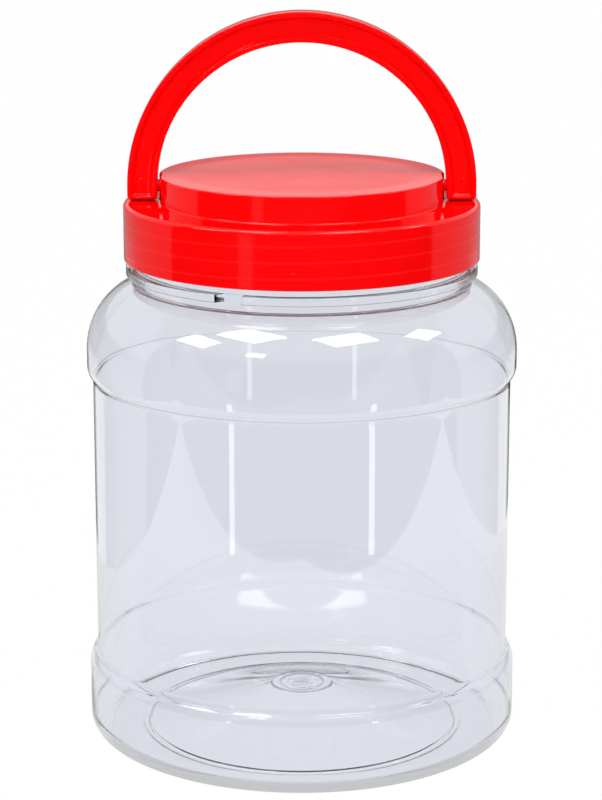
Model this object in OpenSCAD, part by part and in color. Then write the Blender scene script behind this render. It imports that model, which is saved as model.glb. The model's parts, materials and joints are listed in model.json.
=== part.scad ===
// Clear wide-mouth storage jar with a red screw lid and a folding carrying handle.
// The origin is the centre of the base, on the surface that the jar stands on.
// Z points up, and the upright handle spans the X axis.

/* [Jar body] */
// Outside diameter of the straight label panel
panel_d = 137.4; // [128:0.2:150]
// Height of the lower edge of the label panel
panel_z = 27.8; // [24:0.2:40]
// Height of the straight label panel
panel_h = 93.8; // [50:0.2:140]
// How far the bumper above the heel stands out from the panel
bumper_step = 2.6; // [1:0.1:3.5]
// How far the band under the shoulder stands out from the panel
band_step = 1.9; // [1:0.1:3.5]
// Radius that rolls the bumper and the band back to the panel
roll_r = 5; // [4.5:0.5:14]
// Height of the straight part of the band
band_h = 5; // [2:0.1:20]
// Radius of the heel, between the standing ring and the bumper
heel_r = 6.5; // [5:0.5:14]
// Wall thickness of the blown body
body_wall = 0.8; // [0.5:0.1:1.6]

/* [Jar base] */
// Width of the flat ring that the jar stands on
stand_w = 12; // [4:0.1:14]
// How far the middle of the base is pushed up
base_rise = 12.4; // [4:0.2:16]
// Diameter of the round mark left by the gate
gate_d = 20.4; // [12:0.2:30]
// Width of the raised rim of the gate mark
gate_rim_w = 3; // [1.5:0.1:4]
// Height of the raised rim of the gate mark
gate_step = 0.5; // [0.2:0.1:1]

/* [Jar shoulder and neck] */
// Height of the shoulder curve, measured from the band
shoulder_h = 22.5; // [18:0.1:40]
// How far inside the mouth the shoulder curve would level out
shoulder_dip = 2; // [1:0.2:6]
// Outside diameter of the neck at the mouth
neck_d = 108; // [100:0.2:114]
// Wall thickness of the neck
neck_wall = 2; // [1.6:0.1:3]
// Height of the neck above its support ring
neck_h = 18; // [14:0.2:30]
// Radius of the rounded edges of the rim
rim_r = 0.6; // [0.3:0.1:0.8]
// How far the support ring stands out from the neck
ring_step = 3.4; // [2:0.1:4.5]
// Thickness of the support ring
ring_t = 2.6; // [1.5:0.1:5]
// How far the groove under the support ring stands out from the neck
groove_step = 0.5; // [0.4:0.1:1.6]
// Height of the groove under the support ring
groove_h = 3; // [0.4:0.1:4]
// Width of the notch in the support ring
notch_w = 9; // [4:0.5:20]
// Turn of the notch from the front, towards the left
notch_turn = 24; // [0:1:60]

/* [Lid] */
// Gap between the neck and the inside of the skirt, for the screw thread
thread_room = 2.3; // [1.5:0.1:3.5]
// Gap between the support ring and the lower edge of the skirt
skirt_gap = 2.4; // [0.6:0.1:6]
// Thickness of the lid's walls
lid_wall = 1.7; // [1.2:0.1:2.4]
// Radius of the rounded edge between the skirt and the shelf
shelf_edge_r = 1.5; // [0.5:0.1:2]
// Radius of the hub's upper edge
hub_edge_r = 0.8; // [0.3:0.1:1.5]
// Radius of the fillet between the hub and the shelf
hub_root_r = 0.6; // [0.2:0.1:1]
// Depth of the pocket in each side of the hub, beside the handle's foot
pocket_depth = 1.4; // [0.4:0.1:2]
// Wall left between the pin and the back of the pocket
pocket_back = 0.6; // [0.4:0.1:3]
// Thickness of the hub's top above the pin holes
hub_cover = 1.75; // [1:0.05:4]

/* [Liner] */
// Thickness of the foam liner that seals the mouth
liner_t = 1.2; // [0.8:0.1:3]
// Gap between the liner and the inside of the skirt
liner_gap = 0.5; // [0.3:0.1:1]

/* [Handle] */
// Width of the handle's band, seen from the front
grip_w = 9.7; // [7:0.1:14]
// Thickness of the handle at the top of the arch
grip_t = 9; // [7:0.1:12]
// Thickness of the handle at its feet
foot_t = 7; // [5:0.1:8]
// Width of the rim around the handle's recessed faces
grip_rim_w = 1.5; // [0.8:0.1:2.5]
// Radius of the feet's lower corners, seen from the front
foot_corner_r = 1.6; // [0.6:0.1:3]
// Radius of the recess's lower corners, seen from the front
recess_corner_r = 1; // [0.3:0.1:2]
// Thickness of the web between the two recessed faces
web_t = 4.4; // [2:0.1:5]
// How far the centre of the arch lies below the pins
arch_drop = 0.3; // [0:0.1:2]
// Diameter of the handle's pins
pin_d = 4; // [3:0.1:5]
// How far each pin reaches past the inside of the hub's wall
pin_reach = 0.8; // [0.4:0.1:2]

/* [Clearances] */
// Radial running clearance of the pins in their holes
pin_fit = 0.05; // [0.02:0.01:0.1]
// Gap between the folded handle and the hub
fold_gap = 0.4; // [0.4:0.1:2]
// Gap between the folded handle and the lid's shelf
fold_lift = 0.4; // [0.3:0.1:2]
// Gap between the handle's round feet and the lid's shelf
foot_gap = 0.3; // [0.3:0.05:2]
// How far the handle stays inside the edge of the lid
edge_gap = 1.5; // [0.4:0.1:3]

/* [Hidden] */
$fn = 96;
// Steps in each rounded stretch of an outline
arc_steps = 10;
// Overshoot of a cut past the face that it opens
cut = 1;

panel_r = panel_d / 2;
bumper_r = panel_r + bumper_step;
band_r = panel_r + band_step;
stand_r = bumper_r - heel_r - stand_w;
panel_top = panel_z + panel_h;
// The convex rolls end where they meet the panel
bumper_top = panel_z - roll_height(0, bumper_step);
band_low = panel_top + roll_height(0, band_step);
band_top = band_low + band_h;
gate_r = gate_d / 2;

neck_r = neck_d / 2;
mouth_r = neck_r - neck_wall;
ring_r = neck_r + ring_step;
groove_r = neck_r + groove_step;
shoulder_in_r = mouth_r - shoulder_dip;
shoulder_top = band_top + shoulder_rise(groove_r);
ring_z = shoulder_top + groove_h;
ring_top = ring_z + ring_t;
rim_z = ring_top + neck_h;

// The liner lies on the rim, and the lid lies on the liner
lid_in_r = neck_r + thread_room;
lid_r = lid_in_r + lid_wall;
liner_r = lid_in_r - liner_gap;
lid_under = rim_z + liner_t;
shelf_z = lid_under + lid_wall;
skirt_z = ring_top + skirt_gap;

// The handle's band takes up the shelf, and the hub fills what is left inside it
pin_r = pin_d / 2;
grip_out_r = lid_r - edge_gap;
grip_in_r = grip_out_r - grip_w;
hub_r = grip_in_r - arch_drop - fold_gap;
pivot_rise = grip_t / 2 + fold_lift;
pivot_z = shelf_z + pivot_rise;
foot_r = pivot_rise - foot_gap;
hub_top = pivot_z + pin_r + pin_fit + hub_cover;
pocket_x = hub_r - pocket_depth;
pocket_end = pin_r + pin_fit + pocket_back;
boss_x = pocket_x - lid_wall;
pin_end = boss_x - pin_reach;

// Points of an arc, or of an elliptical arc where the two radii differ
function arc(centre, rx, rz, from, to) =
    [for (i = [0 : arc_steps])
        let (a = from + (to - from) * i / arc_steps)
        centre + [rx * cos(a), rz * sin(a)]];

function reversed(list) = [for (i = [len(list) - 1 : -1 : 0]) list[i]];

// Angle and height of a roll that steps back to the panel, on a face set in by inset
function roll_angle(inset, step) = acos(1 - step / (roll_r - inset));
function roll_height(inset, step) = (roll_r - inset) * sin(roll_angle(inset, step));

// Angle and height at which the shoulder curve reaches radius r
function shoulder_angle(inset, r) =
    acos((r - shoulder_in_r) / (band_r - shoulder_in_r - inset));
function shoulder_rise(r) = shoulder_h * sin(shoulder_angle(0, r));

// Pushed-up base: flat under the gate mark and its rim, then a cone to the standing ring
function base_points(inset) =
    let (top = base_rise + inset, rim_in = gate_r - gate_rim_w)
    [[0, top],
     [rim_in, top],
     [rim_in, top + gate_step],
     [gate_r, top + gate_step],
     [gate_r, top],
     [stand_r, inset]];

// Heel, bumper, panel, band and shoulder, up to radius end_r on the shoulder
function side_points(inset, end_r) =
    let (heel = heel_r - inset, roll = roll_r - inset)
    concat(
        arc([bumper_r - heel_r, heel_r], heel, heel, -90, 0),
        arc([bumper_r - roll_r, bumper_top], roll, roll, 0, roll_angle(inset, bumper_step)),
        arc([band_r - roll_r, band_low], roll, roll, -roll_angle(inset, band_step), 0),
        arc([shoulder_in_r, band_top], band_r - shoulder_in_r - inset, shoulder_h - inset,
            0, shoulder_angle(inset, end_r)));

// Groove, support ring and neck, over the rounded rim to the mouth
function neck_points() =
    concat(
        [[groove_r, ring_z], [ring_r, ring_z], [ring_r, ring_top], [neck_r, ring_top]],
        arc([neck_r - rim_r, rim_z - rim_r], rim_r, rim_r, 0, 90),
        arc([mouth_r + rim_r, rim_z - rim_r], rim_r, rim_r, 90, 180));

// One-piece blown jar: a thin body under a thicker neck
module jar() {
    color("gainsboro", 0.35)
    difference() {
        rotate_extrude()
            polygon(concat(
                base_points(0), side_points(0, groove_r), neck_points(),
                reversed(side_points(body_wall, mouth_r)), reversed(base_points(body_wall))));
        ring_notch();
    }
}

// Gap in the support ring, clear of the neck behind it
module ring_notch() {
    rotate(-90 - notch_turn)
        translate([groove_r, -notch_w / 2, ring_z - groove_h / 2])
            cube([ring_r - groove_r + cut, notch_w, ring_t + groove_h / 2 + cut]);
}

// Half section of the lid: the skirt, the shelf and the raised hub
module lid_section() {
    polygon(concat(
        [[0, hub_top - lid_wall],
         [hub_r - lid_wall, hub_top - lid_wall],
         [hub_r - lid_wall, lid_under],
         [lid_in_r, lid_under],
         [lid_in_r, skirt_z],
         [lid_r, skirt_z]],
        arc([lid_r - shelf_edge_r, shelf_z - shelf_edge_r], shelf_edge_r, shelf_edge_r, 0, 90),
        arc([hub_r + hub_root_r, shelf_z + hub_root_r], hub_root_r, hub_root_r, 270, 180),
        arc([hub_r - hub_edge_r, hub_top - hub_edge_r], hub_edge_r, hub_edge_r, 0, 90),
        [[0, hub_top]]));
}

// Repeats its children on the left side
module both_sides() {
    children();
    mirror([1, 0, 0]) children();
}

// Screw lid with a pocket and a pin hole on each side of its hub
module lid() {
    color("red")
    difference() {
        union() {
            rotate_extrude() lid_section();
            both_sides() pin_boss();
        }
        both_sides() {
            hub_pocket();
            translate([boss_x - cut, 0, pivot_z])
                rotate([0, 90, 0])
                    cylinder(r = pin_r + pin_fit, h = lid_wall + pocket_depth + 2 * cut);
        }
    }
}

// Room for the pin beside the foot, open to the front of the hub
module hub_pocket() {
    translate([pocket_x, -hub_r, shelf_z])
        cube([pocket_depth + cut, hub_r + pocket_end, hub_top - shelf_z + cut]);
}

// Keeps the hub's wall at full thickness behind the pocket
module pin_boss() {
    boss_h = hub_top - lid_wall / 2 - lid_under;
    translate([0, 0, lid_under])
        intersection() {
            translate([boss_x, -hub_r, 0])
                cube([lid_wall, 2 * hub_r, boss_h]);
            cylinder(r = hub_r - lid_wall / 2, h = boss_h);
        }
}

// Foam disc under the lid, on the rim of the neck
module lid_liner() {
    color("whitesmoke")
    translate([0, 0, rim_z])
        cylinder(r = liner_r, h = liner_t);
}

// Front outline of the handle, set in by inset: a half ring on two straight feet
module arch_outline(inset, corner_r) {
    outer = grip_out_r - inset;
    translate([0, -arch_drop])
        difference() {
            circle(r = outer);
            circle(r = grip_in_r + inset);
            translate([-outer, -outer]) square([2 * outer, outer]);
        }
    both_sides() foot_outline(inset, corner_r);
}

// Right foot, from the end of the half ring down to its two round corners
module foot_outline(inset, corner_r) {
    left = grip_in_r + inset;
    width = grip_w - 2 * inset;
    bottom = inset - foot_r;
    height = -arch_drop - bottom;
    corner = min(corner_r, height / 2, width / 4);
    translate([left, bottom + corner]) square([width, height - corner]);
    translate([left + corner, bottom]) square([width - 2 * corner, corner]);
    for (x = [left + corner, left + width - corner])
        translate([x, bottom + corner]) circle(r = corner);
}

// Side outline of the handle: tapered from the grip to feet that are round about the pins
module taper_outline() {
    top = grip_out_r + cut;
    intersection() {
        polygon([[-foot_t / 2, -foot_r], [foot_t / 2, -foot_r],
                 [grip_t / 2, top], [-grip_t / 2, top]]);
        union() {
            circle(r = foot_r);
            translate([-grip_t, 0]) square([2 * grip_t, top + cut]);
        }
    }
}

// Swing handle with a rim around each recessed face, and a pin inside each foot
module handle() {
    color("red")
    translate([0, 0, pivot_z]) {
        difference() {
            intersection() {
                rotate([90, 0, 0])
                    linear_extrude(grip_t + cut, center = true)
                        arch_outline(0, foot_corner_r);
                rotate([90, 0, 90])
                    linear_extrude(2 * (grip_out_r + cut), center = true)
                        taper_outline();
            }
            face_recess();
            mirror([0, 1, 0]) face_recess();
        }
        both_sides()
            translate([pin_end, 0, 0])
                rotate([0, 90, 0])
                    cylinder(r = pin_r, h = grip_in_r + grip_rim_w - pin_end);
    }
}

// Recess between the rims, in front of the web
module face_recess() {
    translate([0, -web_t / 2, 0])
        rotate([90, 0, 0])
            linear_extrude(grip_t)
                arch_outline(grip_rim_w, recess_corner_r);
}

jar();
lid();
lid_liner();
handle();
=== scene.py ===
import json
import math

import bmesh
import bpy
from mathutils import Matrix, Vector


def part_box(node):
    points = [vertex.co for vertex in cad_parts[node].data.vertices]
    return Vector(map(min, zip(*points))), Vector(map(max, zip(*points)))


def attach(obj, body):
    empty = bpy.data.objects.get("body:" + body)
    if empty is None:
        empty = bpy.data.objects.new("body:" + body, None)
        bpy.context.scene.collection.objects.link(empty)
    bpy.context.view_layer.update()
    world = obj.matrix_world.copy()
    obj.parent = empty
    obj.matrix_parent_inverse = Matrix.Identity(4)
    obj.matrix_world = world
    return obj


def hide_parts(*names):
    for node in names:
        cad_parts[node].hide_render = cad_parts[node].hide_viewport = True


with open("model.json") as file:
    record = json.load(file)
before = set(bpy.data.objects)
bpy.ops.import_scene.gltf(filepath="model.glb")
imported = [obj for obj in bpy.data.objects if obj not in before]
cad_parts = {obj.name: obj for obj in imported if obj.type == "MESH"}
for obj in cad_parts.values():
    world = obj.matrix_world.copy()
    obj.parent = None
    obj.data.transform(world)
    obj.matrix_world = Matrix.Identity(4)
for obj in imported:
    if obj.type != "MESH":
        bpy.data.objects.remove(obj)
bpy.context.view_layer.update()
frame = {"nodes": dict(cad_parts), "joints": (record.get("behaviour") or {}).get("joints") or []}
scene = bpy.context.scene
mm = 0.001
fullTurn = 2 * math.pi
joints = {joint["name"]: joint for joint in frame["joints"]}
print("frame loaded:", ", ".join(sorted(frame["nodes"])))


# Curves and meshes, sizes in millimetres

def smoothStep(t):
    t = min(max(t, 0.0), 1.0)
    return t * t * (3 - 2 * t)


def arcPoints(centre, rx, rz, startDeg, endDeg, steps=10):
    points = []
    for i in range(steps + 1):
        a = math.radians(startDeg + (endDeg - startDeg) * i / steps)
        points.append((centre[0] + rx * math.cos(a), centre[1] + rz * math.sin(a)))
    return points


def walked(path, at, way, reach):
    # the point this far along the path from a corner, and how many points lie before it
    here = Vector(path[at][:2])
    passed = 0
    while True:
        ahead = Vector(path[at + way * (passed + 1)][:2])
        span = (ahead - here).length
        if span >= reach:
            return here.lerp(ahead, reach / span), passed
        reach -= span
        here = ahead
        passed += 1


def softCorners(path, steps=5):
    # a third number marks a corner, and says how far its rounding reaches to both sides
    soft = []
    skip = 0
    for i, entry in enumerate(path):
        if skip:
            skip -= 1
            continue
        if len(entry) == 2:
            soft.append(entry)
            continue
        corner = Vector(entry[:2])
        start, passed = walked(path, i, -1, entry[2])
        end, skip = walked(path, i, 1, entry[2])
        if passed:
            del soft[-passed:]
        for k in range(steps + 1):
            t = k / steps
            point = start * (1 - t) ** 2 + corner * 2 * t * (1 - t) + end * t * t
            soft.append((point.x, point.y))
    return soft


def stepsBetween(start, end, spacing):
    count = max(1, round(abs(end - start) / spacing))
    return [start + (end - start) * i / count for i in range(count + 1)]


def meshObject(name, verts, faces, sharpDeg=35):
    mesh = bpy.data.meshes.new(name)
    mesh.from_pydata([[c * mm for c in v] for v in verts], [], faces)
    piece = bpy.data.objects.new(name, mesh)
    scene.collection.objects.link(piece)
    tidyMesh(piece, sharpDeg)
    return piece


def tidyMesh(piece, sharpDeg=35):
    work = bmesh.new()
    work.from_mesh(piece.data)
    bmesh.ops.remove_doubles(work, verts=work.verts, dist=0.002 * mm)
    bmesh.ops.dissolve_degenerate(work, edges=work.edges, dist=0.002 * mm)
    bmesh.ops.recalc_face_normals(work, faces=work.faces)
    work.to_mesh(piece.data)
    work.free()
    piece.data.shade_smooth()
    piece.data.set_sharp_from_angle(angle=math.radians(sharpDeg))


def revolve(name, path, angles, shape=None, sharpDeg=35):
    # path runs from the axis round the section and back to the axis
    verts = []
    rows = []
    for i, (r, z) in enumerate(path):
        first = len(verts)
        if r < 1e-6:
            verts.append((0, 0, z))
            rows.append([first])
            continue
        for a in angles:
            rr, zz = shape(i, r, z, a) if shape else (r, z)
            verts.append((rr * math.cos(a), rr * math.sin(a), zz))
        rows.append(list(range(first, len(verts))))
    faces = []
    count = len(angles)
    for low, high in zip(rows, rows[1:]):
        for j in range(count):
            k = (j + 1) % count
            if len(low) == 1:
                faces.append((low[0], high[k], high[j]))
            elif len(high) == 1:
                faces.append((low[j], low[k], high[0]))
            else:
                faces.append((low[j], low[k], high[k], high[j]))
    return meshObject(name, verts, faces, sharpDeg)


def loft(name, sections, sharpDeg=35):
    # closed loops of as many points each, with a flat cap on both ends
    count = len(sections[0])
    verts = [v for section in sections for v in section]
    faces = [tuple(range(count)), tuple(range(len(verts) - count, len(verts)))]
    for i in range(len(sections) - 1):
        for j in range(count):
            k = (j + 1) % count
            faces.append((i * count + j, i * count + k, (i + 1) * count + k, (i + 1) * count + j))
    return meshObject(name, verts, faces, sharpDeg)


def rod(name, start, end, radius, edge, steps=48):
    # round bar along X with softened ends
    along = 1 if end > start else -1
    rings = [(start, radius - edge), (start + along * edge, radius)]
    rings += [(end - along * edge, radius), (end, radius - edge)]
    sections = []
    for x, r in rings:
        turns = [fullTurn * i / steps for i in range(steps)]
        sections.append([(x, r * math.cos(a), r * math.sin(a)) for a in turns])
    return loft(name, sections)


def block(name, low, high):
    (x0, y0, z0), (x1, y1, z1) = low, high
    ring = [(x0, y0), (x1, y0), (x1, y1), (x0, y1)]
    return loft(name, [[(x, y, z) for x, y in ring] for z in (z0, z1)])


def ball(name, radii, rings=10, steps=24):
    # ellipsoid about the origin
    sections = []
    for i in range(1, rings):
        tilt = math.pi * i / rings
        turns = [fullTurn * k / steps for k in range(steps)]
        rx, ry = radii[0] * math.sin(tilt), radii[1] * math.sin(tilt)
        z = radii[2] * math.cos(tilt)
        sections.append([(rx * math.cos(a), ry * math.sin(a), z) for a in turns])
    return loft(name, sections)


def moved(piece, x, y, z):
    for vert in piece.data.vertices:
        vert.co += Vector((x, y, z)) * mm
    return piece


def carve(piece, tool, operation, sharpDeg=35):
    change = piece.modifiers.new("carve", "BOOLEAN")
    change.operation = operation
    change.object = tool
    change.solver = "EXACT"
    evaluated = piece.evaluated_get(bpy.context.evaluated_depsgraph_get())
    result = bpy.data.meshes.new_from_object(evaluated)
    piece.modifiers.clear()
    piece.data = result
    bpy.data.objects.remove(tool)
    tidyMesh(piece, sharpDeg)


# Shader nodes

def node(tree, kind, inputs=None, **settings):
    made = tree.nodes.new(kind)
    for key, value in settings.items():
        setattr(made, key, value)
    for key, value in (inputs or {}).items():
        if isinstance(value, bpy.types.NodeSocket):
            tree.links.new(value, made.inputs[key])
        else:
            made.inputs[key].default_value = value
    return made


def maths(tree, operation, a, b=0.0, clamp=False):
    made = node(tree, "ShaderNodeMath", {0: a, 1: b}, operation=operation, use_clamp=clamp)
    return made.outputs[0]


def ramp(tree, value, low, high, start=0.0, end=1.0):
    inputs = {"Value": value, "From Min": low, "From Max": high, "To Min": start, "To Max": end}
    return node(tree, "ShaderNodeMapRange", inputs, interpolation_type="SMOOTHSTEP").outputs[0]


def blendColour(tree, factor, a, b):
    made = node(tree, "ShaderNodeMix", {0: factor, 6: a, 7: b}, data_type="RGBA")
    return made.outputs[2]


def blendValue(tree, factor, a, b):
    return node(tree, "ShaderNodeMix", {0: factor, 2: a, 3: b}).outputs[0]


def newMaterial(name):
    made = bpy.data.materials.new(name)
    made.use_nodes = True
    tree = made.node_tree
    tree.nodes.clear()
    return made, tree, node(tree, "ShaderNodeOutputMaterial")


def mouldedSkin():
    # slow ripples, fine grain and uneven gloss of a moulded surface
    group = bpy.data.node_groups.new("mouldedSkin", "ShaderNodeTree")
    sides = group.interface
    for title, start in (("Ripple Scale", 40.0), ("Ripple Upright", 0.3), ("Ripple Depth", 1.0),
                         ("Grain Scale", 2000.0), ("Grain Depth", 0.2)):
        socket = sides.new_socket(title, in_out="INPUT", socket_type="NodeSocketFloat")
        socket.default_value = start
    for title in ("Height", "Gloss", "Tone"):
        sides.new_socket(title, in_out="OUTPUT", socket_type="NodeSocketFloat")
    given = node(group, "NodeGroupInput").outputs
    place = node(group, "ShaderNodeTexCoord").outputs["Object"]
    upright = node(group, "ShaderNodeCombineXYZ", {"X": 1.0, "Y": 1.0, "Z": given["Ripple Upright"]})
    flow = node(group, "ShaderNodeVectorMath", {0: place, 1: upright.outputs[0]}, operation="MULTIPLY")

    def noise(vector, scale, detail, roughness):
        inputs = {"Vector": vector, "Scale": scale, "Detail": detail, "Roughness": roughness}
        return node(group, "ShaderNodeTexNoise", inputs).outputs[0]

    ripple = noise(flow.outputs[0], given["Ripple Scale"], 2.0, 0.4)
    grain = noise(place, given["Grain Scale"], 3.0, 0.6)
    cloud = noise(place, 55.0, 4.0, 0.6)
    rippleHeight = maths(group, "MULTIPLY", ripple, given["Ripple Depth"])
    grainHeight = maths(group, "MULTIPLY", grain, given["Grain Depth"])
    height = maths(group, "ADD", rippleHeight, grainHeight)
    gloss = ramp(group, grain, 0.35, 0.75)
    tone = ramp(group, cloud, 0.3, 0.75)
    node(group, "NodeGroupOutput", {"Height": height, "Gloss": gloss, "Tone": tone})
    return group


skinGroup = mouldedSkin()


def skin(tree, **values):
    made = node(tree, "ShaderNodeGroup", node_tree=skinGroup)
    for title, value in values.items():
        made.inputs[title].default_value = value
    return made.outputs


def bumped(tree, height, distance, strength=1.0):
    made = node(tree, "ShaderNodeBump", {"Height": height, "Distance": distance, "Strength": strength})
    return made.outputs[0]


# Camera at the photograph's angle

cameraAt = {
    "pictureHeight": 800,   # pixels
    "focal": 2604.0,        # pixels
    "side": -0.00026,
    "back": 0.8366,
    "height": 0.3206,
    "tiltDown": 14.0,       # degrees
    "sensor": 36.0,
}


def makeCamera():
    data = bpy.data.cameras.new("camera")
    data.sensor_width = cameraAt["sensor"]
    data.lens = cameraAt["sensor"] * cameraAt["focal"] / cameraAt["pictureHeight"]
    data.clip_start = 0.05
    camera = bpy.data.objects.new("camera", data)
    camera.location = (cameraAt["side"], -cameraAt["back"], cameraAt["height"])
    camera.rotation_euler = (math.radians(90 - cameraAt["tiltDown"]), 0, 0)
    scene.collection.objects.link(camera)
    scene.camera = camera


makeCamera()
print("camera ready")


# Clear jar

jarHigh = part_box("jar")[1]
jarSizes = {
    "panelR": 68.7,
    "panelZ": 27.8,
    "panelTop": 121.6,
    "bumperR": jarHigh.x / mm,
    "bandR": 70.6,
    "rollR": 5.0,
    "bandH": 5.0,
    "heelR": 6.0,
    "heelInR": 7.6,         # rounder inside, where the plastic gathers
    "standR": 51.4,
    "baseRise": 12.4,
    "baseHollow": 1.2,      # 1 is a straight cone, more is flatter towards the ring
    "gateR": 10.2,
    "gateRimW": 3.0,
    "gateStep": 0.5,
    "gateGrain": 0.07,      # unevenness inside the gate mark
    "wall": 0.8,
    "shoulderH": 22.5,
    "shoulderInR": 50.0,
    "grooveR": 54.5,
    "grooveH": 3.0,
    "ringR": 57.4,
    "ringT": 2.6,
    "neckR": 54.0,
    "mouthR": 52.0,
    "rimR": 0.6,
    "rimZ": jarHigh.z / mm,
    "notchW": 7.3,
    "notchTurn": 22.5,      # degrees from the front, to the left
    "notchSlope": 1.9,      # run of the notch's sloping end
    "columns": 224,
    "beadW": 1.8,           # the jar stands on a narrow bead at the inside of its ring
    "beadStep": 0.35,       # the ring outside the bead is this much higher
    "beadIn": 0.9,          # and the pushed-up base starts this much higher
    "beadSlope": 0.6,       # run of the bead's flanks
    "beadSoft": 0.25,
    "beadLag": 0.35,        # share of the wall by which the inside is narrower
    "baseSoft": 0.35,
    "dimpleR": 2.4,         # small dimple in the middle of the gate mark
    "dimpleRise": 0.35,
    "rollSoft": 1.8,        # the lower roll runs gently into the panel
    "rollInSoft": 1.6,
    "bandSoft": 0.5,
    "bandInSoft": 2.0,      # softer inside, where the plastic is blown free
    "unevenWall": 0.035,    # how far the inside wanders
}
threadSizes = {
    "lead": 5.0,
    "turns": 1.5,
    "ridge": 1.25,
    "halfWidth": 1.15,
    "neckStart": 162.1,     # height of the neck's thread where it starts
    "lidStart": 164.6,      # half a lead higher, so that the two threads run past each other
    "rowStep": 0.4,
}


def threadRidge(z, angle, start, turns):
    # height of a right-hand thread's ridge over the wall
    sizes = threadSizes
    ridge = 0.0
    for lap in range(-1, math.ceil(turns) + 1):
        travelled = angle / fullTurn + lap
        if not 0 <= travelled <= turns:
            continue
        away = abs(z - start - sizes["lead"] * travelled) / sizes["halfWidth"]
        runOut = smoothStep(min(travelled, turns - travelled) / 0.06)
        ridge = max(ridge, sizes["ridge"] * smoothStep(1.6 * (1 - away)) * runOut)
    return ridge


def rollDrop(step, inset):
    s = jarSizes
    angle = math.degrees(math.acos(1 - step / (s["rollR"] - inset)))
    return angle, (s["rollR"] - inset) * math.sin(math.radians(angle))


def basePath(inset):
    # flat under the gate mark and its rim, then a slightly hollow cone to the standing bead
    s = jarSizes
    top = s["baseRise"] + inset
    rimTop = top + s["gateStep"]
    rimIn = s["gateR"] - s["gateRimW"]
    dimple = s["dimpleR"]
    path = [(0, top + s["dimpleRise"]), (dimple / 2, top + s["dimpleRise"] - 0.05), (dimple, top, 0.6)]
    path += [(r, top) for r in stepsBetween(dimple + 1, rimIn - 0.6, 0.5)]
    path += [(rimIn, top, 0.25), (rimIn + 0.2, rimTop, 0.15), (s["gateR"] - 0.2, rimTop, 0.15)]
    path += [(s["gateR"], top, 0.15), (s["gateR"] + 0.6, top - 0.15)]
    lag = s["beadLag"] * inset
    beadStart = s["standR"] - s["beadSlope"] / 2 + lag
    rise = s["baseRise"] - s["beadIn"]
    for r in stepsBetween(s["gateR"] + 3, beadStart - 3, 4.0):
        share = (beadStart - r) / (beadStart - s["gateR"])
        path.append((r, inset + s["beadIn"] + rise * share ** s["baseHollow"]))
    path.append((beadStart, inset + s["beadIn"], s["baseSoft"]))
    path.append((beadStart + s["beadSlope"], inset, s["beadSoft"]))
    beadEnd = s["standR"] + s["beadW"] - lag
    path.append((beadEnd, inset, s["beadSoft"]))
    path.append((beadEnd + s["beadSlope"], inset + s["beadStep"], s["beadSoft"]))
    return path


def sidePath(inset, endR):
    s = jarSizes
    bumperTurn, bumperDrop = rollDrop(s["bumperR"] - s["panelR"], inset)
    bandTurn, bandDrop = rollDrop(s["bandR"] - s["panelR"], inset)
    bumperTop = s["panelZ"] - rollDrop(s["bumperR"] - s["panelR"], 0)[1]
    bandLow = s["panelTop"] + rollDrop(s["bandR"] - s["panelR"], 0)[1]
    bandTop = bandLow + s["bandH"]
    heel = s["heelInR"] if inset else s["heelR"]
    roll = s["rollR"] - inset
    path = arcPoints((s["bumperR"] - inset - heel, inset + heel), heel, heel - s["beadStep"], -90, 0, 14)
    path += arcPoints((s["bumperR"] - s["rollR"], bumperTop), roll, roll, 0, bumperTurn, 8)[:-1]
    rollSoft = s["rollInSoft"] if inset else s["rollSoft"]
    bandSoft = s["bandInSoft"] if inset else s["bandSoft"]
    path.append((s["panelR"] - inset, bumperTop + bumperDrop, rollSoft))
    for z in stepsBetween(s["panelZ"] + 3, s["panelTop"] - 3, 8.0):
        path.append((s["panelR"] - inset, z))
    path.append((s["panelR"] - inset, bandLow - bandDrop, bandSoft))
    path += arcPoints((s["bandR"] - s["rollR"], bandLow), roll, roll, -bandTurn, 0, 8)[1:]
    reach = s["bandR"] - s["shoulderInR"] - inset
    endTurn = math.degrees(math.acos((endR - s["shoulderInR"]) / reach))
    path += arcPoints((s["shoulderInR"], bandTop), reach, s["shoulderH"] - inset, 0, endTurn, 18)
    return path


def jarPath():
    s = jarSizes
    outside = basePath(0) + sidePath(0, s["grooveR"])
    shoulderTop = outside.pop()[1]
    ringZ = shoulderTop + s["grooveH"]
    ringTop = ringZ + s["ringT"]
    outside += [(s["grooveR"], shoulderTop, 1.3), (s["grooveR"], ringZ, 0.35), (s["ringR"], ringZ, 0.4)]
    outside += [(s["ringR"], ringTop, 0.4), (s["neckR"], ringTop, 0.4)]
    neck = stepsBetween(ringTop + 1, s["rimZ"] - s["rimR"] - 0.6, threadSizes["rowStep"])
    outside += [(s["neckR"], z) for z in neck]
    rim = arcPoints((s["neckR"] - s["rimR"], s["rimZ"] - s["rimR"]), s["rimR"], s["rimR"], 0, 90, 5)
    rim += arcPoints((s["mouthR"] + s["rimR"], s["rimZ"] - s["rimR"]), s["rimR"], s["rimR"], 90, 180, 5)
    inside = list(reversed(sidePath(s["wall"], s["mouthR"])))
    inside[0] = (*inside[0], 0.5)
    inside += list(reversed(basePath(s["wall"])))
    outer = softCorners(outside + rim[:1])[:-1]
    inner = softCorners(rim[-1:] + inside)[1:]
    return outer + rim + inner, len(outer), (ringZ, ringTop)


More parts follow.
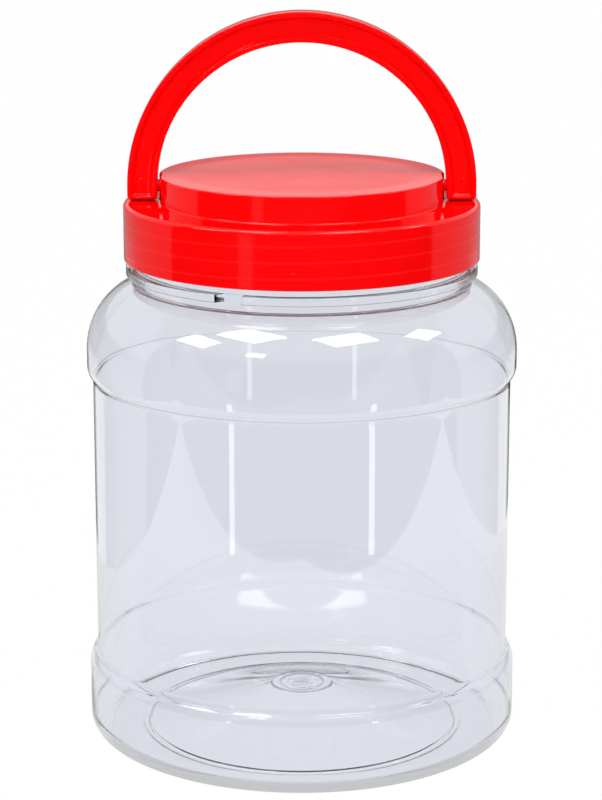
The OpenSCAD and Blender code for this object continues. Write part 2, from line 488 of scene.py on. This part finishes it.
def makeJar():
    s = jarSizes
    path, outerCount, (ringZ, ringTop) = jarPath()
    notchAt = math.radians(-90 - s["notchTurn"]) % fullTurn
    notchHalf = s["notchW"] / 2 / s["ringR"]
    edgeW = 0.002
    angles = [fullTurn * i / s["columns"] for i in range(s["columns"])]
    angles = [a for a in angles if abs(abs(a - notchAt) - notchHalf) > 2 * edgeW]
    slope = s["notchSlope"] / s["ringR"]
    angles = [a for a in angles if not -slope < a - notchAt + notchHalf < 2 * edgeW]
    angles += [notchAt - notchHalf - slope, notchAt - notchHalf]
    angles += [notchAt + notchHalf - edgeW, notchAt + notchHalf]
    angles.sort()

    def shape(i, r, z, a):
        if i < outerCount:
            if ringZ - 0.3 < z <= ringTop + 0.01 and r > s["grooveR"]:
                if -notchHalf - edgeW / 2 <= a - notchAt <= notchHalf - edgeW / 2:
                    return s["grooveR"], z
            if z > ringTop + 0.5:
                return r + threadRidge(z, a, threadSizes["neckStart"], threadSizes["turns"]), z
            return r, z
        if z > ringTop or r < 1:
            return r, z
        if r < s["gateR"] - s["gateRimW"]:
            swirl = math.sin(4.4 * r + a) + 0.5 * math.sin(2.3 * r - 2 * a + 1)
            return r, z + s["gateGrain"] * swirl * smoothStep((r - 1) / 2)
        # the blown wall is a little uneven inside
        wander = math.sin(5 * a + 1.3 + z / 60) + math.sin(9 * a + 0.4 - z / 85)
        wander += 0.6 * math.sin(17 * a + z / 40)
        push = s["unevenWall"] * wander / 2.6
        if z < 14 and r < s["standR"]:
            return r, z + push
        return r + push, z

    return revolve("jar_clear", path, angles, shape, 40)


jar = makeJar()
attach(jar, "jar")
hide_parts("jar")
print("jar shaped:", len(jar.data.polygons), "faces")


# Red screw lid

lidLow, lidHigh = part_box("lid")
lidSizes = {
    "outR": lidHigh.x / mm,
    "skirtZ": lidLow.z / mm,
    "hubTop": lidHigh.z / mm,
    "shelfZ": joints["lid_turn"]["pos_m"][2] / mm,
    "pivotZ": joints["handle_swing"]["pos_m"][2] / mm,
    "wall": 1.7,
    "hubR": 46.1,
    "shelfEdge": 1.5,
    "hubEdge": 0.5,
    "hubRoot": 0.6,
    "hubSpread": 0.3,       # the hub is this much wider towards the handle's feet
    "pocketDepth": 0.95,
    "pocketBack": 2.35,     # how far behind the pin's axis the pocket ends
    "pinHoleR": 2.05,
    "markR": 0.7,           # gate mark on the front of the skirt
    "markRise": 0.2,
    "markSide": 2.6,
    "markZ": 166.4,
    "columns": 240,
}


def makeLid():
    s = lidSizes
    inR = s["outR"] - s["wall"]
    under = s["shelfZ"] - s["wall"]
    hubIn = s["hubR"] - s["wall"]
    ceiling = s["hubTop"] - s["wall"]
    path = [(0, ceiling), (hubIn * 0.5, ceiling), (hubIn, ceiling, 0.6), (hubIn, under, 0.5)]
    path.append((inR, under, 0.6))
    innerFirst = len(softCorners(path + [(inR, s["skirtZ"])])) - 1
    path += [(inR, z) for z in stepsBetween(under - 1.2, s["skirtZ"] + 0.8, threadSizes["rowStep"])]
    innerLast = innerFirst + len(path) - 5
    path += [(inR, s["skirtZ"], 0.25), (s["outR"], s["skirtZ"], 0.3)]
    skirtTop = s["shelfZ"] - s["shelfEdge"]
    path += [(s["outR"], z) for z in stepsBetween(s["skirtZ"] + 1, skirtTop - 0.5, 2.0)]
    path += arcPoints((s["outR"] - s["shelfEdge"], skirtTop), s["shelfEdge"], s["shelfEdge"], 0, 90, 8)
    root, edge = s["hubRoot"], s["hubEdge"]
    path += arcPoints((s["hubR"] + root, s["shelfZ"] + root), root, root, 270, 180, 5)
    path += arcPoints((s["hubR"] - edge, s["hubTop"] - edge), edge, edge, 0, 90, 7)
    path += [(s["hubR"] * f, s["hubTop"]) for f in (0.8, 0.5, 0.2)] + [(0, s["hubTop"])]

    def shape(i, r, z, a):
        if innerFirst <= i < innerLast and s["skirtZ"] + 0.5 < z < under - 0.8:
            return r - threadRidge(z, a, threadSizes["lidStart"], threadSizes["turns"] - 0.25), z
        if i > innerLast and z > s["shelfZ"] - 0.001 and r < s["hubR"] + s["hubRoot"] + 0.001:
            return r * (1 + s["hubSpread"] / s["hubR"] * math.cos(a) ** 2), z
        return r, z

    angles = [fullTurn * i / s["columns"] for i in range(s["columns"])]
    lid = revolve("lid_red", softCorners(path), angles, shape)
    wallX = s["hubR"] - s["pocketDepth"]
    for side in (-1, 1):
        x0, x1 = sorted((side * wallX, side * (s["hubR"] + 1)))
        pocket = block("pocket", (x0, -s["hubR"], s["shelfZ"] + 0.001),
                       (x1, s["pocketBack"], s["hubTop"] + 1))
        carve(lid, pocket, "DIFFERENCE")
        hole = rod("hole", side * (wallX - s["wall"] - 3), side * (s["hubR"] + 0.5), s["pinHoleR"], 0.01)
        carve(lid, moved(hole, 0, 0, s["pivotZ"]), "DIFFERENCE")
    mark = ball("mark", (s["markR"], s["markRise"], s["markR"]))
    markY = -math.sqrt(s["outR"] ** 2 - s["markSide"] ** 2)
    carve(lid, moved(mark, -s["markSide"], markY, s["markZ"]), "UNION")
    return lid


lid = makeLid()
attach(lid, "lid")
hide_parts("lid")
print("lid shaped:", len(lid.data.polygons), "faces")


# Red handle

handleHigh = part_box("handle")[1]
handleSizes = {
    "outR": handleHigh.x / mm,
    "width": 9.7,
    "topT": 9.0,
    "footT": 7.0,
    "rimW": 1.5,
    "webT": 4.4,
    "footR": 4.875,         # the round feet turn just clear of the shelf
    "footCorner": 1.6,
    "recessCorner": 1.0,
    "recessWall": 1.0,
    "edge": 0.45,
    "archDrop": 0.3,
    "pinR": 2.0,
    "pinEnd": 42.2,
    "dotR": 0.75,
    "dotDepth": 0.3,
    "dotRise": 1.8,         # height of the gate dots over the pins
    "dotOut": 0.6,
    "archSteps": 120,
}


def handleSection(centreX, centreZ, outX, outZ, halfW, halfT, recessW, recessD):
    # one closed loop across the band: out is the direction away from the arch's centre
    s = handleSizes
    edge = min(s["edge"], halfT, halfW)
    front = [(halfW - edge + edge * math.cos(a), halfT - edge + edge * math.sin(a))
             for a in [math.radians(18 * i) for i in range(6)]]
    for i in range(7):
        t = i / 6
        front.append((recessW - s["recessWall"] * t, halfT - recessD * smoothStep(t)))
    front.append(((recessW - s["recessWall"]) * 0.5, halfT - recessD))
    front += [(-u, v) for u, v in reversed(front)]
    loop = front + [(-u, -v) for u, v in front]
    return [(centreX + outX * u, v, centreZ + outZ * u) for u, v in loop]


def makeHandle():
    s = handleSizes
    pivot = lidSizes["pivotZ"]
    midR = s["outR"] - s["width"] / 2
    halfW = s["width"] / 2
    top = s["outR"] + 1

    def halfThickness(height):
        share = (height + s["footR"]) / (top + s["footR"])
        half = (s["footT"] + (s["topT"] - s["footT"]) * share) / 2
        if height < 0:
            half = min(half, math.sqrt(max(s["footR"] ** 2 - height ** 2, 0.01)))
        return half

    def cornerInset(rise, radius):
        if rise >= radius:
            return 0.0
        return radius - math.sqrt(max(radius ** 2 - (radius - rise) ** 2, 0.0))

    def legSection(rise, side):
        height = rise - s["footR"]
        half = halfThickness(height)
        width = halfW - cornerInset(rise, s["footCorner"])
        recess = halfW - s["rimW"] - cornerInset(max(rise - s["rimW"], 0), s["recessCorner"])
        recess = min(recess, width - s["edge"] - 0.15)
        depth = max(half - s["webT"] / 2, 0) * smoothStep((rise - s["rimW"]) / s["recessWall"])
        return handleSection(side * midR, pivot + height, side, 0, width, half, recess, depth)

    legTop = s["footR"] - s["archDrop"]
    rises = [0.02, 0.08] + stepsBetween(0.18, legTop - 0.1, 0.14)
    sections = [legSection(rise, 1) for rise in rises]
    centreZ = pivot - s["archDrop"]
    for i in range(s["archSteps"] + 1):
        a = math.pi * i / s["archSteps"]
        height = midR * math.sin(a) - s["archDrop"]
        half = halfThickness(height)
        outX, outZ = math.cos(a), math.sin(a)
        sections.append(handleSection(midR * outX, centreZ + midR * outZ, outX, outZ,
                                      halfW, half, halfW - s["rimW"], half - s["webT"] / 2))
    sections += [legSection(rise, -1) for rise in reversed(rises)]
    handle = loft("handle_red", sections)
    innerX = midR - halfW
    for side in (-1, 1):
        pin = rod("pin", side * s["pinEnd"], side * (innerX + s["rimW"]), s["pinR"], 0.3)
        carve(handle, moved(pin, 0, 0, pivot), "UNION")
        dot = ball("dot", (s["dotR"], s["dotDepth"], s["dotR"]))
        dotX = side * (midR + s["dotOut"])
        carve(handle, moved(dot, dotX, -s["webT"] / 2, pivot + s["dotRise"]), "UNION")
    return handle


handle = makeHandle()
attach(handle, "handle")
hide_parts("handle")
print("handle shaped:", len(handle.data.polygons), "faces")


# Foam liner under the lid

linerLow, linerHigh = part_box("lid_liner")
linerSizes = {
    "radius": linerHigh.x / mm,
    "low": linerLow.z / mm,
    "high": linerHigh.z / mm,
    "edge": 0.35,
    "gap": 0.02,            # keeps the foam clear of the rim and the lid
    "dent": 0.12,           # depth of the mark that the rim presses into the foam
    "columns": 160,
}


def makeLiner():
    s = linerSizes
    j = jarSizes
    low = s["low"] + s["gap"]
    high = s["high"] - s["gap"]
    path = [(0, low), (30, low), (j["mouthR"] - 1.2, low, 0.4), (j["mouthR"] - 0.4, low + s["dent"], 0.3)]
    path += [(j["neckR"] + 0.3, low + s["dent"], 0.3), (j["neckR"] + 0.8, low, 0.2)]
    path += [(s["radius"], low, s["edge"]), (s["radius"], high, s["edge"]), (30, high), (0, high)]
    angles = [fullTurn * i / s["columns"] for i in range(s["columns"])]
    return revolve("lid_liner_foam", softCorners(path), angles)


liner = makeLiner()
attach(liner, "liner")
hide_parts("lid_liner")
print("liner shaped")


# Materials

redLook = {
    "colour": (0.93, 0.0005, 0.0012, 1),
    "deep": (0.88, 0.0004, 0.001, 1),
    "showThrough": (1.0, 0.03, 0.025, 1),
    "roughLow": 0.07,
    "roughHigh": 0.11,
    "ior": 1.49,
    "specular": 0.4,
    "threadLine": 169.2,    # height at the front where the first thread shows through
    "threadHalf": 0.55,
    "threadLow": (161.8, 163.0),    # heights between which the lines fade in
    "threadHigh": (176.8, 175.8),
    "threadSkin": (57.0, 57.5),     # only near the outside of the skirt
    "threadTint": 0.22,
    "threadRaise": 0.15,
    "bump": 0.00012,
}
clearLook = {
    "colour": (0.876, 0.890, 0.930, 1),
    "ior": 1.57,
    "roughness": 0.0,
    "bump": 0.00006,
}
foamLook = {
    "colour": (0.86, 0.86, 0.84, 1),
    "pore": (0.72, 0.72, 0.70, 1),
    "roughLow": 0.75,
    "roughHigh": 0.9,
    "bump": 0.0002,
}


def redBase(tree):
    surface = skin(tree, **{"Ripple Scale": 28.0, "Ripple Upright": 0.6, "Ripple Depth": 1.0,
                            "Grain Scale": 2600.0, "Grain Depth": 0.03})
    colour = blendColour(tree, surface["Tone"], redLook["deep"], redLook["colour"])
    rough = ramp(tree, surface["Gloss"], 0.0, 1.0, redLook["roughLow"], redLook["roughHigh"])
    return surface, colour, rough


def redShader(tree, colour, rough, normal):
    inputs = {"Base Color": colour, "Roughness": rough, "Normal": normal,
              "IOR": redLook["ior"], "Specular IOR Level": redLook["specular"]}
    return node(tree, "ShaderNodeBsdfPrincipled", inputs).outputs[0]


def redHandlePlastic():
    made, tree, out = newMaterial("red_handle_plastic")
    surface, colour, rough = redBase(tree)
    normal = bumped(tree, surface["Height"], redLook["bump"])
    tree.links.new(redShader(tree, colour, rough, normal), out.inputs[0])
    return made


def redLidPlastic():
    # the screw thread inside shows as faint lines on the skirt
    made, tree, out = newMaterial("red_lid_plastic")
    surface, colour, rough = redBase(tree)
    place = node(tree, "ShaderNodeTexCoord").outputs["Object"]
    xyz = node(tree, "ShaderNodeSeparateXYZ", {0: place}).outputs
    fromFront = maths(tree, "ARCTAN2", xyz["X"], maths(tree, "MULTIPLY", xyz["Y"], -1.0))
    climb = maths(tree, "MULTIPLY", fromFront, threadSizes["lead"] * mm / fullTurn)
    height = maths(tree, "SUBTRACT", maths(tree, "SUBTRACT", xyz["Z"], redLook["threadLine"] * mm), climb)
    lead = threadSizes["lead"] * mm
    lap = maths(tree, "PINGPONG", height, lead / 2)
    line = ramp(tree, lap, 0.0, redLook["threadHalf"] * mm, 1.0, 0.0)
    above = ramp(tree, xyz["Z"], *[z * mm for z in redLook["threadLow"]])
    below = ramp(tree, xyz["Z"], *[z * mm for z in redLook["threadHigh"]])
    flat = node(tree, "ShaderNodeCombineXYZ", {0: xyz["X"], 1: xyz["Y"]}).outputs[0]
    radius = node(tree, "ShaderNodeVectorMath", {0: flat}, operation="LENGTH").outputs["Value"]
    outside = ramp(tree, radius, *[r * mm for r in redLook["threadSkin"]])
    for mask in (above, below, outside):
        line = maths(tree, "MULTIPLY", line, mask)
    tint = maths(tree, "MULTIPLY", line, redLook["threadTint"])
    colour = blendColour(tree, tint, colour, redLook["showThrough"])
    raised = maths(tree, "MULTIPLY", line, redLook["threadRaise"])
    ridge = maths(tree, "ADD", surface["Height"], raised)
    normal = bumped(tree, ridge, redLook["bump"])
    tree.links.new(redShader(tree, colour, rough, normal), out.inputs[0])
    return made


def clearPlastic():
    # lamps shine through the clear wall, so shadow rays see a tinted window
    made, tree, out = newMaterial("clear_plastic")
    surface = skin(tree, **{"Ripple Scale": 45.0, "Ripple Upright": 0.12, "Ripple Depth": 1.0,
                            "Grain Scale": 300.0, "Grain Depth": 0.02})
    normal = bumped(tree, surface["Height"], clearLook["bump"])
    inputs = {"Base Color": clearLook["colour"], "Roughness": clearLook["roughness"],
              "IOR": clearLook["ior"], "Transmission Weight": 1.0, "Normal": normal}
    clear = node(tree, "ShaderNodeBsdfPrincipled", inputs)
    window = node(tree, "ShaderNodeBsdfTransparent", {0: clearLook["colour"]})
    light = node(tree, "ShaderNodeLightPath")
    both = node(tree, "ShaderNodeMixShader", {0: light.outputs["Is Shadow Ray"], 1: clear.outputs[0],
                                              2: window.outputs[0]})
    tree.links.new(both.outputs[0], out.inputs[0])
    return made


def foam():
    made, tree, out = newMaterial("liner_foam")
    surface = skin(tree, **{"Ripple Scale": 300.0, "Ripple Upright": 1.0, "Ripple Depth": 0.4,
                            "Grain Scale": 2500.0, "Grain Depth": 1.0})
    colour = blendColour(tree, surface["Gloss"], foamLook["colour"], foamLook["pore"])
    normal = bumped(tree, surface["Height"], foamLook["bump"])
    rough = ramp(tree, surface["Tone"], 0.0, 1.0, foamLook["roughLow"], foamLook["roughHigh"])
    inputs = {"Base Color": colour, "Roughness": rough, "Normal": normal}
    shader = node(tree, "ShaderNodeBsdfPrincipled", inputs)
    tree.links.new(shader.outputs[0], out.inputs[0])
    return made


jar.data.materials.append(clearPlastic())
lid.data.materials.append(redLidPlastic())
handle.data.materials.append(redHandlePlastic())
liner.data.materials.append(foam())
print("materials ready")


# Studio: white for the eye, a lit white sheet in a darker room for reflections

studio = {
    "floorHalf": 12.0,
    "floorColour": (0.8, 0.8, 0.8, 1),
    "whiteShare": 0.992,    # share of plain white in the floor, the rest takes the shadow
    "sheetFront": 0.32,     # edge of the lit sheet in front of the jar
    "sheetLean": (0.205, 0.402),    # how that edge draws back to the left and to the right
    "sheetTip": (0.476, 0.507),
    "sheetBackX": (0.228, 0.26),
    "sheetBackY": (0.080, 0.12),
    "sheetGlow": 1.0,
    "frontGlow": 0.03,      # the room on the camera's side
    "nearGlow": 0.95,       # the table beside and behind the jar
    "sideGlow": 0.45,
    "sideFrom": 0.80,       # turns from straight back, in radians, where the table changes
    "sideTo": 0.70,
    "edgeGlow": 0.08,       # painted dark strip on the table behind the jar, seen only in reflections, that draws its outline
    "edgeFrom": 0.44,
    "edgeTo": 0.30,
    "edgeSide": (0.050, 0.062),     # it starts this far to the side
    "shade": 0.72,          # the sheet is dimmer beside the jar
    "shadeReach": (0.20, 0.34),
    "underShade": 0.85,     # and dimmest under it
    "underReach": (0.080, 0.062),
    "underFront": (0.0, -0.03),     # under its front half only
    "rearGlow": 0.36,       # the walls farther off
    "rearReach": (0.5, 1.0),
    "insideGlow": 0.62,     # what light that bounced inside the clear wall finds
    "insideShare": 0.5,
    "behindGlow": 0.95,     # the same behind the jar
    "behindShare": 0.9,
    "streakGlow": 4.0,      # painted light on the table under the jar, seen only in reflections, for light that the jar gathers there
    "streakY": 0.0327,
    "streakLean": 0.7,
    "streakHalf": 0.004,
    "streakFrom": -0.016,
    "streakTo": 0.029,
    "streakFade": 0.004,
    "ceilingGlow": 0.8,
    "rearFrom": -0.02,
    "backGlow": 1.0,        # the backdrop above them
    "fill": 0.6,            # level of the even light all round
}
lamps = [
    # name, place, aim, width, height, radiance, shows in reflections
    ("strip_left", (-0.175, -0.260, 0.030), (0, 0, 0.030), 0.016, 0.058, 2.4, True),
    ("strip_right", (0.175, -0.260, 0.030), (0, 0, 0.030), 0.016, 0.058, 2.4, True),
    ("strip_left_high", (-0.165, -0.260, 0.16), (0, 0, 0.16), 0.045, 0.13, 0.3, True),
    ("panel_left", (-0.20, -0.12, 0.75), (0, 0, 0.14), 0.24, 0.20, 7.5, True),
    ("panel_right", (0.19, -0.20, 0.74), (0, 0, 0.14), 0.24, 0.20, 7.5, True),
    ("outer_left", (-0.51, -0.15, 0.70), (0, 0, 0.14), 0.22, 0.18, 6.0, True),
    ("outer_right", (0.55, 0.02, 0.70), (0, 0, 0.14), 0.18, 0.18, 6.0, True),
    ("spot_left", (-0.295, -0.55, 0.70), (0, 0, 0.14), 0.13, 0.09, 5.0, True),
    ("front_fill", (0, -1.2, 0.55), (0, 0, 0.12), 1.4, 0.9, 1.9, False),
]


def seenWhite(tree, light):
    # rays from the camera, and those that go straight through the clear plastic
    straight = maths(tree, "LESS_THAN", light["Glossy Depth"], 0.5)
    through = maths(tree, "MULTIPLY", light["Is Transmission Ray"], straight)
    return maths(tree, "MAXIMUM", light["Is Camera Ray"], through)


def insideLight(tree, light, level, rear):
    # light that leaves the clear wall after a bounce inside it meets a paler room
    glow = blendValue(tree, rear, studio["insideGlow"], studio["behindGlow"])
    share = blendValue(tree, rear, studio["insideShare"], studio["behindShare"])
    share = maths(tree, "MULTIPLY", light["Is Transmission Ray"], share)
    return blendValue(tree, share, level, glow)


def makeFloor():
    made, tree, out = newMaterial("floor_white")
    light = node(tree, "ShaderNodeLightPath").outputs
    white = seenWhite(tree, light)
    place = node(tree, "ShaderNodeNewGeometry").outputs["Position"]
    xyz = node(tree, "ShaderNodeSeparateXYZ", {0: place}).outputs
    side = maths(tree, "ABSOLUTE", xyz["X"])
    right = maths(tree, "GREATER_THAN", xyz["X"], 0.0)
    tipY = []
    slope = []
    for lean, tip, backX, backY in zip(studio["sheetLean"], studio["sheetTip"],
                                       studio["sheetBackX"], studio["sheetBackY"]):
        tipY.append(lean * tip - studio["sheetFront"])
        slope.append((tip - backX) / (backY - tipY[-1]))
    front = maths(tree, "ADD", xyz["Y"], studio["sheetFront"])
    lean = blendValue(tree, right, *studio["sheetLean"])
    front = maths(tree, "SUBTRACT", front, maths(tree, "MULTIPLY", side, lean))
    edge = maths(tree, "SUBTRACT", xyz["Y"], blendValue(tree, right, *tipY))
    edge = maths(tree, "MULTIPLY", edge, blendValue(tree, right, *slope))
    tip = blendValue(tree, right, *studio["sheetTip"])
    edge = maths(tree, "SUBTRACT", tip, maths(tree, "ADD", side, edge))
    inside = maths(tree, "MULTIPLY", ramp(tree, front, -0.002, 0.004), ramp(tree, edge, -0.002, 0.004))
    rear = ramp(tree, xyz["Y"], studio["rearFrom"] - 0.01, studio["rearFrom"] + 0.01)
    flat = node(tree, "ShaderNodeCombineXYZ", {"X": xyz["X"], "Y": xyz["Y"]}).outputs[0]
    away = node(tree, "ShaderNodeVectorMath", {0: flat}, operation="LENGTH").outputs["Value"]
    beside = maths(tree, "SUBTRACT", side, jarSizes["panelR"] * mm)
    turn = maths(tree, "ARCTAN2", beside, xyz["Y"])
    near = ramp(tree, turn, studio["sideFrom"], studio["sideTo"], studio["sideGlow"], studio["nearGlow"])
    # painted dark strip in the table's glow behind the jar, seen only in reflections, for the jar's dark
    # outline
    strip = maths(tree, "MULTIPLY", ramp(tree, turn, studio["edgeFrom"], studio["edgeTo"]),
                  ramp(tree, side, *studio["edgeSide"]))
    near = blendValue(tree, strip, near, studio["edgeGlow"])
    table = blendValue(tree, ramp(tree, away, *studio["rearReach"]), near, studio["rearGlow"])
    room = blendValue(tree, rear, studio["frontGlow"], table)
    # painted shadow: the sheet's glow dims beside the jar and most under its front half, seen only in
    # reflections
    sheet = ramp(tree, away, *studio["shadeReach"], studio["shade"], studio["sheetGlow"])
    under = maths(tree, "MULTIPLY", ramp(tree, away, *studio["underReach"]),
                  ramp(tree, xyz["Y"], *studio["underFront"]))
    sheet = maths(tree, "MULTIPLY", sheet, ramp(tree, under, 0.0, 1.0, 1.0, studio["underShade"]))
    glow = insideLight(tree, light, blendValue(tree, inside, room, sheet), rear)
    # painted streaks of light on the table under the jar, seen only in reflections
    cross = maths(tree, "ABSOLUTE", maths(tree, "SUBTRACT", xyz["Y"], studio["streakY"]))
    cross = maths(tree, "SUBTRACT", side, maths(tree, "MULTIPLY", cross, studio["streakLean"]))
    streak = ramp(tree, maths(tree, "ABSOLUTE", cross), studio["streakHalf"], studio["streakHalf"] * 0.6)
    starts = ramp(tree, xyz["Y"], studio["streakFrom"] - studio["streakFade"], studio["streakFrom"])
    ends = ramp(tree, xyz["Y"], studio["streakTo"], studio["streakTo"] - studio["streakFade"])
    reach = maths(tree, "MULTIPLY", starts, ends)
    glow = blendValue(tree, maths(tree, "MULTIPLY", streak, reach), glow, studio["streakGlow"])
    strength = blendValue(tree, white, glow, 1.0)
    emission = node(tree, "ShaderNodeEmission", {"Strength": strength})
    diffuse = node(tree, "ShaderNodeBsdfDiffuse", {"Color": studio["floorColour"]})
    reflected = maths(tree, "GREATER_THAN", light["Glossy Depth"], 0.5)
    share = maths(tree, "MAXIMUM", maths(tree, "MULTIPLY", white, studio["whiteShare"]), reflected)
    both = node(tree, "ShaderNodeMixShader", {0: share, 1: diffuse.outputs[0], 2: emission.outputs[0]})
    tree.links.new(both.outputs[0], out.inputs[0])
    half = studio["floorHalf"] / mm
    corners = [(-half, -half, 0), (half, -half, 0), (half, half, 0), (-half, half, 0)]
    floor = meshObject("floor", corners, [(0, 1, 2, 3)])
    floor.data.materials.append(made)


def makeWorld():
    world = bpy.data.worlds.new("studio")
    world.use_nodes = True
    scene.world = world
    tree = world.node_tree
    tree.nodes.clear()
    out = node(tree, "ShaderNodeOutputWorld")
    light = node(tree, "ShaderNodeLightPath").outputs
    towards = node(tree, "ShaderNodeTexCoord").outputs["Generated"]
    xyz = node(tree, "ShaderNodeSeparateXYZ", {0: towards}).outputs
    rear = ramp(tree, xyz["Y"], -0.03, 0.03)
    above = ramp(tree, xyz["Z"], 0.13, 0.19)
    ceiling = ramp(tree, xyz["Z"], 0.45, 0.75)
    back = blendValue(tree, above, studio["rearGlow"], studio["backGlow"])
    room = blendValue(tree, rear, studio["frontGlow"], back)
    room = insideLight(tree, light, blendValue(tree, ceiling, room, studio["ceilingGlow"]), rear)
    level = blendValue(tree, light["Is Diffuse Ray"], room, studio["fill"])
    level = blendValue(tree, seenWhite(tree, light), level, 1.0)
    background = node(tree, "ShaderNodeBackground", {"Strength": level})
    tree.links.new(background.outputs[0], out.inputs[0])


def makeLamps():
    for name, place, aim, width, height, radiance, shows in lamps:
        data = bpy.data.lights.new(name, "AREA")
        data.shape = "RECTANGLE"
        data.size = width
        data.size_y = height
        data.energy = radiance * width * height * math.pi
        lamp = bpy.data.objects.new(name, data)
        lamp.location = place
        lamp.rotation_euler = (Vector(aim) - Vector(place)).to_track_quat("-Z", "Y").to_euler()
        lamp.visible_camera = False
        lamp.visible_glossy = shows
        lamp.visible_transmission = shows
        scene.collection.objects.link(lamp)


makeFloor()
makeWorld()
makeLamps()
scene.view_settings.view_transform = "Standard"
scene.cycles.max_bounces = 32          # light runs far along the clear wall
scene.cycles.glossy_bounces = 24
scene.cycles.transmission_bounces = 32
print("studio ready")
